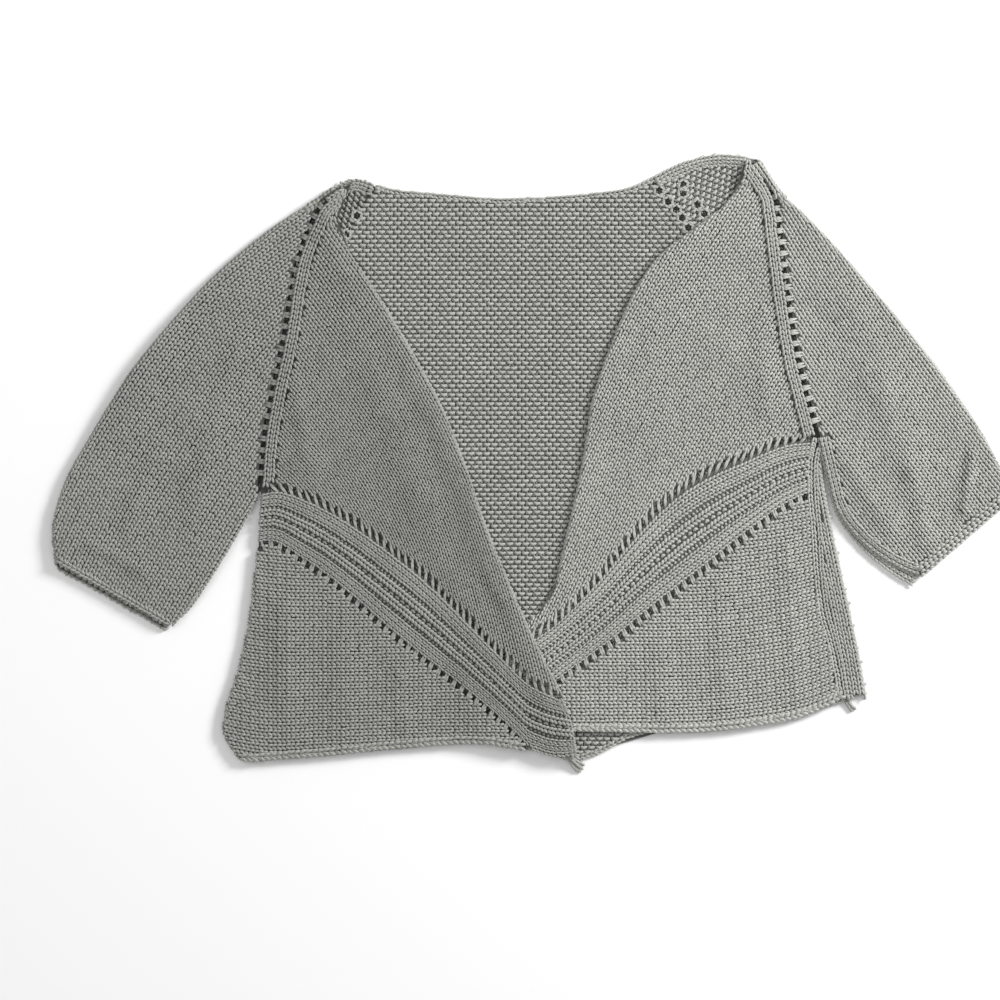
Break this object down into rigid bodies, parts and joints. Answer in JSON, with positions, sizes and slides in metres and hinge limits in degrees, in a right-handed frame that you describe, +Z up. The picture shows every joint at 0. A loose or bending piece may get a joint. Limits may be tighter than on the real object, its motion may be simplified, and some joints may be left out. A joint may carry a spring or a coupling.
{
  "type": "knitted shrug",
  "caption": "Hand-knitted grey raglan shrug with slanted eyelet bands on both fronts, laid flat on its back",
  "frame": {"origin": "middle of the garment's outline on the surface it lies on", "axes": "+X to the wearer's left, +Y towards the neck, +Z up out of the cloth"},
  "size_m": [0.7626, 0.4956, 0.0119],
  "materials": {
    "yarn_back": "soft matt yarn, purl side",
    "yarn_right": "soft matt yarn",
    "yarn_left": "soft matt yarn"
  },
  "bodies": {
    "root": {"back": "yarn_back", "sleeve_right": "yarn_right", "sleeve_left": "yarn_left", "front_right_upper": "yarn_right", "front_right_band": "yarn_right", "front_right_lower": "yarn_right", "front_left_upper": "yarn_left", "front_left_band": "yarn_left", "front_left_lower": "yarn_left", "tail_point": "yarn_right", "tail_side": "yarn_right"}
  },
  "joints": []
}
